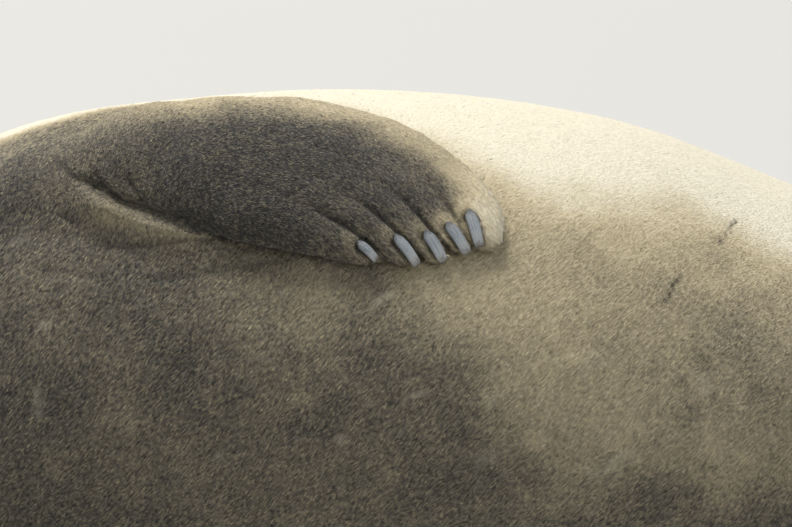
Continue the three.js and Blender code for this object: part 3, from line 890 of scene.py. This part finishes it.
class Nodes:
    """A short way to write a material's node tree."""

    def __init__(self, name):
        self.material = bpy.data.materials.new(name)
        self.material.use_nodes = True
        self.tree = self.material.node_tree
        self.shader = self.tree.nodes["Principled BSDF"]

    def add(self, kind, inputs=None, **settings):
        node = self.tree.nodes.new("ShaderNode" + kind)
        for key, value in settings.items():
            setattr(node, key, value)
        for key, value in (inputs or {}).items():
            self.put(node.inputs[key], value)
        return node

    def put(self, socket, value):
        if isinstance(value, bpy.types.NodeSocket):
            self.tree.links.new(value, socket)
        else:
            socket.default_value = value

    def finish(self, inputs):
        """Sets inputs of the shader, and returns the material."""
        for key, value in inputs.items():
            self.put(self.shader.inputs[key], value)
        return self.material

    def math(self, operation, *values, clamp=False):
        node = self.add("Math", dict(enumerate(values)), operation=operation, use_clamp=clamp)
        return node.outputs[0]

    def swing(self, value, amount):
        """How far a noise is from its middle value, scaled."""
        return self.math("MULTIPLY", self.math("SUBTRACT", value, 0.5), amount)

    def mix(self, factor, a, b):
        return self.add("MixRGB", {"Fac": factor, "Color1": a, "Color2": b}).outputs[0]

    def noise(self, vector, scale, detail=3.0, roughness=0.55):
        inputs = {"Vector": vector, "Scale": scale, "Detail": detail, "Roughness": roughness}
        return self.add("TexNoise", inputs).outputs["Fac"]

    def ramp(self, value, stops):
        node = self.add("ValToRGB", {"Fac": value})
        elements = node.color_ramp.elements
        while len(elements) < len(stops):
            elements.new(0.5)
        for element, (at, colour) in zip(elements, stops):
            element.position, element.color = at, colour
        return node.outputs[0]

    def bump(self, height, distance, strength, normal=None):
        inputs = {"Height": height, "Distance": distance, "Strength": strength}
        if normal is not None:
            inputs["Normal"] = normal
        return self.add("Bump", inputs).outputs[0]


COAT_TONES = [
    (0.0, linear(50, 48, 45)),
    (0.08, linear(78, 73, 65)),
    (0.22, linear(108, 101, 86)),
    (0.45, linear(160, 148, 121)),
    (0.7, linear(208, 193, 158)),
    (1.0, linear(244, 236, 214)),
]
# colour of the painted shade in creases, grooves, the mouth, lid rims and nostrils, and of the dark scratches
SHADE_AND_SCRATCH_COLOUR = linear(40, 37, 34)
RUBBED_COLOUR = linear(196, 188, 164)


def coat_material(name, over_skin):
    """Short fur: the skin carries its streaks in colour and bump, and each tuft its own change of shade."""
    n = Nodes(name)
    marks = n.add("Attribute", attribute_name="marks")
    parts = n.add("SeparateColor", {"Color": marks.outputs["Color"]})
    tone, shade_and_scratches, pale = parts.outputs
    place = n.add("TexCoord").outputs["Object"]
    speck = n.noise(place, 420.0, 4.0, 0.65)
    cloud = n.noise(place, 34.0, 4.0, 0.6)
    change = n.math("ADD", n.swing(speck, 0.75), n.swing(cloud, 0.16))
    if over_skin:
        streak = n.noise(n.add("Attribute", attribute_name="flow").outputs["Vector"], 1.0, 4.0, 0.6)
        change = n.math("ADD", change, n.swing(streak, 0.85))
    else:
        change = n.math("ADD", change, n.swing(marks.outputs["Alpha"], 0.62))
    # pale fur is the more even
    evenness = n.math("SUBTRACT", 1.0, n.math("MULTIPLY", tone, 0.85))
    tone = n.math("ADD", tone, n.math("MULTIPLY", change, evenness))
    colour = n.ramp(n.math("MAXIMUM", tone, 0.0), COAT_TONES)
    colour = n.mix(pale, colour, RUBBED_COLOUR)
    # painted shade in creases, grooves, the mouth, lid rims and nostrils, and the dark of the scratches
    colour = n.mix(n.math("MULTIPLY", shade_and_scratches, 0.86), colour, SHADE_AND_SCRATCH_COLOUR)
    if over_skin:
        coarse = n.bump(n.noise(place, 90.0, 3.0), 0.0012, 0.5)
        n.finish({"Normal": n.bump(streak, 0.0016, 0.9, coarse)})
    look = {"Roughness": 0.68, "Specular IOR Level": 0.28, "Sheen Weight": 0.12, "Sheen Roughness": 0.45}
    return n.finish({"Base Color": colour, **look})


def claw_material():
    n = Nodes("horn")
    grain = n.add("Attribute", attribute_name="grain").outputs["Vector"]
    length = n.add("SeparateXYZ", {"Vector": grain}).outputs[0]
    place = n.add("TexCoord").outputs["Object"]
    stretched = n.add("VectorMath", {0: grain, 1: (1.2, 9.0, 1.0)}, operation="MULTIPLY").outputs[0]
    streak = n.noise(stretched, 1.0, 4.0)
    wear = n.noise(place, 700.0, 4.0, 0.75)
    along = n.math("ADD", length, n.swing(wear, 1.0))
    colour = n.ramp(
        along,
        [
            (0.0, linear(70, 70, 71)),
            (0.14, linear(136, 140, 144)),
            (0.5, linear(156, 163, 168)),
            (0.85, linear(196, 197, 196)),
            (1.0, linear(146, 141, 132)),
        ],
    )
    dark = n.math("MULTIPLY", n.math("SUBTRACT", streak, 0.38, clamp=True), 2.4)
    colour = n.mix(dark, colour, linear(84, 90, 96))
    bumps = n.bump(n.math("ADD", streak, wear), 0.0006, 0.8)
    return n.finish({"Base Color": colour, "Roughness": 0.42, "Specular IOR Level": 0.5, "Normal": bumps})


def eye_material():
    n = Nodes("eye")
    ring = n.add("Attribute", attribute_name="grain").outputs["Vector"]
    apart = n.add("SeparateXYZ", {"Vector": ring}).outputs[0]
    rays = n.noise(ring, 14.0, 3.0)
    apart = n.math("ADD", apart, n.swing(rays, 0.05))
    colour = n.ramp(
        apart,
        [
            (0.0, linear(6, 5, 5)),
            (0.30, linear(8, 6, 6)),
            (0.36, linear(52, 34, 24)),
            (0.52, linear(38, 26, 20)),
            (0.60, linear(14, 11, 10)),
            (1.0, linear(60, 48, 42)),
        ],
    )
    look = {"Roughness": 0.06, "Specular IOR Level": 0.6, "Coat Weight": 1.0, "Coat Roughness": 0.02}
    return n.finish({"Base Color": colour, **look})


def whisker_material():
    n = Nodes("whisker")
    place = n.add("TexCoord").outputs["Object"]
    colour = n.ramp(n.noise(place, 30.0), [(0.3, linear(44, 38, 32)), (0.7, linear(176, 160, 130))])
    return n.finish({"Base Color": colour, "Roughness": 0.35})


# The skin's streaks: noise cells per millimetre along the hair, across it and between regions, the radius
# that turns angles round the trunk into lengths, and the hair's lean on the flank and on the flippers
STREAK_LONG, STREAK_WIDE, STREAK_APART = 0.22, 1.05, 9.0
STREAK_ROUND = 235
BODY_LEAN, HAND_LEAN = math.radians(46), math.radians(-32)


def flow_of(p, region, flat):
    """Flat coordinates that run with the coat, for its streaks."""
    s, theta = round_trunk(*p.T)
    around = ((theta + math.pi / 2) % (2 * math.pi)) * STREAK_ROUND
    body = turned(s, around, BODY_LEAN)
    hand = turned(flat[:, 0], flat[:, 1], HAND_LEAN)
    along, across = (np.where(is_hand(region), h, b) for h, b in zip(hand, body))
    return np.stack([along * STREAK_LONG, across * STREAK_WIDE, region * STREAK_APART], 1)


def in_photo(p, n):
    """Whether points lie on the stretch of flank that the photo shows, which gets the finest coat."""
    s = p[:, 0] + MIDDLE
    return (s > PHOTO_START) & (s < PHOTO_END) & (n @ LOOK > -0.12)


points, quads = grid_surface()
points, _ = settle(points, 1, False)
faces = [tuple(q) for q in quads.tolist()]
for level in range(2):
    sample = np.array([f[:4] for f in faces])
    centre = points[sample].mean(1)
    s_mid = centre[:, 0] + MIDDLE
    region, flat = region_of(centre)
    _, face_normals = settle(centre, 1, False)
    hn, _, _ = to_head(*centre.T)
    if level == 0:
        chosen = in_photo(centre, face_normals) | (s_mid < 300) | (region > BODY)
    else:
        near_roll = (s_mid > PHOTO_START) & (s_mid < 700) & (flank_plane(centre)[1] > 310)
        face = (hn > 122) & (s_mid < 160)
        chosen = (region == NEAR_HAND) | face | (near_roll & in_photo(centre, face_normals))
    points, faces = refined(points, faces, chosen)
base_points, base_normals = settle(points, 2)
region, flat = region_of(base_points)
height = relief(base_points, base_normals, region, flat)
points = base_points + base_normals * height[:, None]
points[:, 2] = np.maximum(points[:, 2], GROUND_SKIN * 0.5)

skin = new_mesh("skin", points, faces)
tone, shade_and_scratches, pale = marks_of(base_points, base_normals, region, flat)
marks = np.stack([tone, shade_and_scratches, pale, np.full(len(tone), 0.5)], 1)
set_attribute(skin, "marks", marks)
set_attribute(skin, "flow", flow_of(base_points, region, flat))
skin.data.materials.append(coat_material("skin_fur", True))
FLESH = [
    "head", "lower_jaw", "neck", "chest", "belly", "hindquarters", "fore_flipper_right",
    "fore_flipper_left", "hind_flipper_right", "hind_flipper_left", "tail",
]
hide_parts(*FLESH)

# The coat: each tuft is a thin four-sided spike with its root in the skin
random = np.random.default_rng(7)
mesh = skin.data
mesh.calc_loop_triangles()
triangles = np.empty(len(mesh.loop_triangles) * 3, np.int32)
mesh.loop_triangles.foreach_get("vertices", triangles)
triangles = triangles.reshape(-1, 3)
corner = points[triangles]
area = np.linalg.norm(np.cross(corner[:, 1] - corner[:, 0], corner[:, 2] - corner[:, 0]), axis=1) / 2
vertex_normals = np.empty(len(mesh.vertices) * 3, np.float32)
mesh.vertex_normals.foreach_get("vector", vertex_normals)
vertex_normals = vertex_normals.reshape(-1, 3).astype(float)

mid = corner.mean(1)
mid_normal = unit(vertex_normals[triangles].mean(1))
mid_region = region[triangles[:, 0]]
mid_s = mid[:, 0] + MIDDLE
seen = in_photo(mid, mid_normal)
hn, hl, hd = to_head(*mid.T)

# Kind of coat: tufts per square millimetre, length, width
COATS = {
    "body": (0.054, 8.5, 1.65),
    "flank": (0.42, 3.9, 0.8),
    "head": (0.18, 4.2, 1.0),
    "muzzle": (0.40, 2.4, 0.6),
    "near_flipper": (0.76, 2.7, 0.6),
    "far_flipper": (0.20, 3.8, 1.0),
    "hind_flippers": (0.09, 5.0, 1.3),
}
kind = np.full(len(area), "body", dtype="<U14")
kind[seen & (mid_region == BODY)] = "flank"
kind[(mid_s < 330) & ~seen] = "head"
kind[(hn > 150) & (mid_s < 200)] = "muzzle"
kind[mid_region == NEAR_HAND] = "near_flipper"
kind[mid_region == FAR_HAND] = "far_flipper"
kind[mid_s > 1720] = "hind_flippers"
underside = mid[:, 2] < 3.0
eyelids = (eye_distance(hn, hl, hd) < EYE_RADIUS + 3.5) & (mid_s < 300)
nose_pad = (hn > 226) & (np.abs(hd - 9) < 12) & (mid_s < 100)
bare = underside | eyelids | nose_pad
PIECE_TUFTS = 48000
TUFT_SPREAD = 0.20  # radians that the tufts stray from the coat's lie
TUFT_ROOT = 0.35  # how deep they start in the skin
TUFT_TONES = (-0.05, -0.05, 0.02, 0.09)  # change of tone at the two root corners, the bend and the tip
TUFT_UV = 0.0015 * np.array([(-1, -1), (1, -1), (1, 1), (-1, 1)])  # the same corners on the unwrap
tuft_fur = coat_material("tuft_fur", False)


def unwrap(p, n, region, flat):
    """A place for each skin point on a flat unwrap: the body rolled out below, the limbs in rows above it."""
    s, theta = round_trunk(*p.T)
    u = 0.01 + 0.97 * s / 2050
    v = 0.01 + 0.58 * ((theta + math.pi / 2) % (2 * math.pi)) / (2 * math.pi)
    for column, number in enumerate((NEAR_HAND, FAR_HAND)):
        at = region == number
        u[at] = 0.02 + 0.46 * column + (flat[at, 0] + 70) / 370 * 0.42
        v[at] = 0.62 + (flat[at, 1] + 160) / 320 * 0.18
    at = s > HIND_START
    up = n[:, 2] > 0
    u[at] = 0.02 + 0.46 * up[at] + (s[at] - HIND_START) / 350 * 0.42
    v[at] = 0.82 + (p[at, 1] + 130) / 420 * 0.16
    return np.stack([u, v], 1)


def make_tufts(name, wanted, density, long, wide):
    """Scatters tufts over the wanted triangles of the skin, in pieces that run from nose to tail."""
    pool = np.flatnonzero(wanted)
    weight = area[pool]
    count = int(weight.sum() * density)
    picked = pool[np.searchsorted(np.cumsum(weight) / weight.sum(), random.random(count))]
    a, b = random.random(count), random.random(count)
    over = a + b > 1
    a[over], b[over] = 1 - a[over], 1 - b[over]
    share = np.stack([1 - a - b, a, b], 1)[:, :, None]
    root = (corner[picked] * share).sum(1)
    normal = unit((vertex_normals[triangles[picked]] * share).sum(1))
    tuft_marks = (marks[triangles[picked]] * share).sum(1)
    tuft_region = mid_region[picked]
    tuft_flat = (flat[triangles[picked]] * share).sum(1)
    order = np.argsort(root[:, 0])
    root, normal, tuft_marks = root[order], normal[order], tuft_marks[order]
    tuft_region, tuft_flat = tuft_region[order], tuft_flat[order]
    way = fur_direction(root, normal, tuft_region, tuft_flat)
    across = np.cross(normal, way)
    angle = random.normal(0, TUFT_SPREAD, count)[:, None]
    cos, sin = np.cos(angle), np.sin(angle)
    way, across = way * cos + across * sin, across * cos - way * sin
    # the tufts along the tip of the near flipper are longer
    fringe = (tuft_region == NEAR_HAND) * smooth(tuft_flat[:, 0] - TIP_SLANT * tuft_flat[:, 1], 240, 270)
    length = (long * random.uniform(0.65, 1.25, count) * (1 + 0.9 * fringe))[:, None]
    half = (wide * random.uniform(0.35, 0.6, count))[:, None]
    lift = length * random.uniform(0.05, 0.16, count)[:, None]
    tip = root + way * length + normal * lift
    tip[:, 2] = np.maximum(tip[:, 2], 0.4)
    corners = np.stack(
        [
            root - across * half - normal * TUFT_ROOT,
            root + across * half - normal * TUFT_ROOT,
            root + way * length * 0.42 + normal * (lift * 0.55 + 0.22),
            tip,
        ],
        axis=1,
    )
    corners[:, :, 2] = np.maximum(corners[:, :, 2], 0.3)
    tuft_marks[:, 3] = random.random(count)
    place = unwrap(root, normal, tuft_region, tuft_flat)
    for part, start in enumerate(range(0, count, PIECE_TUFTS)):
        at = slice(start, min(start + PIECE_TUFTS, count))
        k = at.stop - at.start
        first = 4 * np.arange(k)[:, None]
        spike = [first + f for f in ([0, 2, 1], [0, 1, 3], [1, 2, 3], [2, 0, 3])]
        sides = np.concatenate(spike, 1).reshape(-1, 3)
        piece = new_mesh(f"coat_{name}_{part + 1}", corners[at].reshape(-1, 3), sides)
        colours = np.repeat(tuft_marks[at], 4, axis=0)
        colours[:, 0] = np.clip(colours[:, 0] + np.tile(TUFT_TONES, k), 0, 1)
        set_attribute(piece, "marks", colours)
        # the darker the fur, the more its tufts' shading varies
        calm = 1 - 0.65 * tuft_marks[at, :1]
        lean = normal[at] + 0.36 * calm * across[at] * random.normal(0, 1, (k, 1))
        lean = unit(lean + way[at] * (0.10 + 0.22 * calm * random.normal(0, 1, (k, 1))))
        piece.data.normals_split_custom_set_from_vertices(np.repeat(lean, 4, axis=0).tolist())
        uv = piece.data.uv_layers.new(name="OFBake")
        corner_uv = (place[at][:, None, :] + TUFT_UV[None]).reshape(-1, 2)
        uv.data.foreach_set("uv", corner_uv[sides.ravel()].astype(np.float32).ravel())
        piece.data.materials.append(tuft_fur)


for name, (density, long, wide) in COATS.items():
    make_tufts(name, (kind == name) & ~bare, density, long, wide)


def radius_at(s, theta):
    """Distance from the trunk's axis to its surface, along a direction."""
    low, high = np.zeros(len(s)), np.full(len(s), 420.0)
    for _ in range(30):
        r = (low + high) / 2
        f = trunk_field(*from_trunk_axis(s, theta, r))
        low, high = np.where(f < 0, r, low), np.where(f < 0, high, r)
    return low


def drape(flat_points, root, angle, side, slant, splay):
    """Bends flat flipper points round the flank."""
    px, py, lift = np.asarray(flat_points, float).T
    a, b = turned(px, py, -slant)
    s, theta = root + a, angle + side * b / FLIPPER_ROUND
    p = np.stack(from_trunk_axis(s, theta, radius_at(s, theta)), 1)
    n = unit(gradient(trunk_field, *p.T))
    return p + n * (lift + splay * np.maximum(a, 0))[:, None]


def tube(rings):
    """Points and faces of rings of equal count, closed at both ends."""
    count = len(rings[0])
    points = [p for ring in rings for p in ring]
    faces = []
    for i in range(len(rings) - 1):
        for j in range(count):
            a, b = i * count + j, i * count + (j + 1) % count
            faces.append((a, b, b + count, a + count))
    faces.append(tuple(range(count))[::-1])
    faces.append(tuple(range((len(rings) - 1) * count, len(rings) * count)))
    return points, faces


# Claws: arched horn, blunt at the worn tip, each seated in its cuff
CLAW_ROWS = (
    *(-0.068, -0.06, -0.045, -0.02, 0.01, 0.05, 0.11, 0.18, 0.26, 0.34),
    *(0.43, 0.52, 0.61, 0.7, 0.78, 0.86, 0.92, 0.96, 0.985, 1.0),
)
CLAW_FACETS = 20
CLAW_ARCH, CLAW_TAPER = 0.9, 0.20
RIDGES, RIDGE_HEIGHT = 7, 0.035  # along the horn, as a share of its radius
horn = claw_material()
for side, flipper in FLIPPERS.items():
    for number, ((a0, b0), (a1, b1), half) in enumerate(CLAWS, 1):
        base_at, length = np.array((a0, b0)), np.array((a1 - a0, b1 - b0))
        way = length / math.hypot(*length)
        over = np.array((-way[1], way[0]))
        rings, grain = [], []
        for t in CLAW_ROWS:
            tip = 1 - 0.45 * max((t - 0.94) / 0.06, 0) ** 2
            base = math.sqrt(max(1 - ((0.25 - t) / 0.33) ** 2, 0.01)) if t < 0.25 else 1.0
            w = half * (1.0 - CLAW_TAPER * t * t) * base * (0.6 + 0.4 * tip)
            thick = (2.5 - 0.5 * t) * (0.5 + 0.5 * tip)
            rise = CLAW_RISE - CLAW_DROP * t * t + CLAW_ARCH * math.sin(math.pi * max(t, 0))
            ring = []
            for j in range(CLAW_FACETS):
                turn = 2 * math.pi * j / CLAW_FACETS
                ridge = 1 + RIDGE_HEIGHT * math.cos(RIDGES * turn)
                place = base_at + length * t + over * w * math.cos(turn) * ridge
                ring.append((*place, rise + thick * math.sin(turn) * ridge))
                grain.append((t, turn + 7 * number, 0))
            rings.append(ring)
        claw_points, claw_faces = tube(rings)
        claw = new_mesh(f"claw_{side}_{number}_horn", drape(claw_points, **flipper), claw_faces)
        set_attribute(claw, "grain", np.array(grain))
        claw.data.materials.append(horn)
        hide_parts(f"claw_{side}_{number}")

# Eyes: balls with a slightly raised cornea
EYE_RINGS, EYE_FACETS = 40, 48
eye_look = eye_material()
for side, sign in (("right", 1), ("left", -1)):
    centre = in_head(EYE_AT[0], EYE_AT[1] * sign, EYE_AT[2])
    looks = EYE_LOOKS[0] * forward + EYE_LOOKS[1] * sign * rightward + EYE_LOOKS[2] * crown
    u_axis = unit(np.cross(looks, (0, 0, 1)))
    v_axis = np.cross(u_axis, looks)
    rings, grain = [], []
    for polar in np.linspace(math.radians(2), math.radians(178), EYE_RINGS):
        bulge = EYE_RADIUS * (1 + 0.035 * math.exp(-((polar / 0.5) ** 2)))
        ring = []
        for turn in np.linspace(0, 2 * math.pi, EYE_FACETS, endpoint=False):
            spread = math.cos(turn) * u_axis + math.sin(turn) * v_axis
            ring.append(centre + bulge * (math.cos(polar) * looks + math.sin(polar) * spread))
            grain.append((polar / 1.6, math.cos(turn), math.sin(turn)))
        rings.append(ring)
    ball_points, ball_faces = tube(rings)
    ball = new_mesh(f"eye_{side}_ball", np.array(ball_points), ball_faces)
    set_attribute(ball, "grain", np.array(grain))
    ball.data.materials.append(eye_look)
    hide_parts(f"eye_{side}")

# Whiskers on the lip pads and over the eyes
PAD_ROWS, PAD_COLUMNS, PAD_START = 5, 7, 172
WHISKER_STEPS, WHISKER_SIDES, WHISKER_HALF = 9, 5, 0.55
roots, bends = [], []  # in the head's axes: where each starts; its aim, length, and bend forward and up
for sign in (1, -1):
    for row in range(PAD_ROWS):
        for column in range(PAD_COLUMNS):
            n0 = PAD_START + 7.2 * column + 1.5 * random.normal()
            d0 = -26 + 6.6 * row - 0.04 * (n0 - PAD_START) + random.normal()
            roots.append((n0, sign * 52, d0))
            behind = PAD_COLUMNS - 1 - column
            length = 22 + 9.5 * behind * random.uniform(0.8, 1.15) + 4 * row
            aim = np.array((0.15 - 0.07 * behind, sign, -0.42 + 0.13 * row)) + 0.08 * random.normal(size=3)
            bends.append((aim, length, (-0.55, -0.35)))
    for k in range(5):
        roots.append((124 + 5 * k, sign * 40, 66 - abs(k - 2)))
        aim = np.array((0.1 + 0.1 * (k - 2), sign * 0.5, 0.9))
        bends.append((aim, 34 + 5 * random.random(), (-0.5, 0)))
root_points = np.array([in_head(*r) for r in roots])
for _ in range(8):
    f = plain_skin(*root_points.T)
    root_points -= f[:, None] * unit(gradient(plain_skin, *root_points.T)) * 0.8
all_points, all_faces = [], []
for root, (aim, length, bend) in zip(root_points, bends):
    way = unit(aim[0] * forward + aim[1] * rightward + aim[2] * crown)
    droop = bend[0] * forward + bend[1] * crown
    rings = []
    for i in range(WHISKER_STEPS):
        t = i / (WHISKER_STEPS - 1)
        heading = unit(way + droop * t * 1.1)
        at = root + way * length * t + droop * length * 0.42 * t * t - way * 1.2 * (i == 0)
        at[2] = max(at[2], 1.5)
        u_axis = unit(np.cross(heading, (0.31, 0.2, 0.93)))
        v_axis = np.cross(heading, u_axis)
        thick = WHISKER_HALF * (1 - 0.82 * t)
        turns = 2 * math.pi * np.arange(WHISKER_SIDES) / WHISKER_SIDES
        rings.append([at + thick * (math.cos(a) * u_axis + math.sin(a) * v_axis) for a in turns])
    tube_points, tube_faces = tube(rings)
    all_faces += [tuple(v + len(all_points) for v in f) for f in tube_faces]
    all_points += tube_points
whiskers = new_mesh("whiskers", np.array(all_points), all_faces)
whiskers.data.materials.append(whisker_material())


# Camera: far off with a long lens, looking down on the flank by VIEW_TILT
VIEW_DISTANCE = 6.0
FRAME_WIDTH = 0.515
TARGET = Vector((-0.2895, -0.20, 0.3635))
camera = in_scene("camera", bpy.data.cameras.new("camera"))
toward = Vector((0, math.cos(VIEW_TILT), -math.sin(VIEW_TILT)))
camera.location = TARGET - toward * VIEW_DISTANCE
camera.rotation_euler = toward.to_track_quat("-Z", "Y").to_euler()
camera.data.lens = camera.data.sensor_width * VIEW_DISTANCE / FRAME_WIDTH
camera.data.clip_end = 200
bpy.context.scene.camera = camera

# Studio floor and light
FLOOR_HALF = 60.0  # metres
floor = in_scene("floor", bpy.data.meshes.new("floor"))
floor_corners = [(x * FLOOR_HALF, y * FLOOR_HALF, 0) for x, y in ((-1, -1), (1, -1), (1, 1), (-1, 1))]
floor.data.from_pydata(floor_corners, [], [(0, 1, 2, 3)])
floor.data.materials.append(Nodes("paper").finish({"Base Color": linear(198, 197, 194), "Roughness": 0.9}))


def soft_light(name, at, aim, size, power, colour):
    data = bpy.data.lights.new(name, "AREA")
    data.shape, data.size, data.energy, data.color = "DISK", size, power, colour
    light = in_scene(name, data)
    light.location = at
    light.rotation_euler = (Vector(aim) - Vector(at)).to_track_quat("-Z", "Y").to_euler()
    return light


MIDDLE_OF_BODY = (-0.1, 0, 0.2)
lights = [
    soft_light("key", (-2.6, 3.2, 9.0), MIDDLE_OF_BODY, 5.0, 950, (1, 0.98, 0.935)),
    soft_light("fill", (5.4, -9.6, 4.8), MIDDLE_OF_BODY, 7.0, 230, (0.96, 0.98, 1)),
]
world = bpy.data.worlds.new("world")
world.use_nodes = True
sky = world.node_tree.nodes["Background"].inputs
sky["Color"].default_value, sky["Strength"].default_value = (0.93, 0.96, 1, 1), 0.46
bpy.context.scene.world = world
bpy.context.scene.view_settings.view_transform = "Standard"
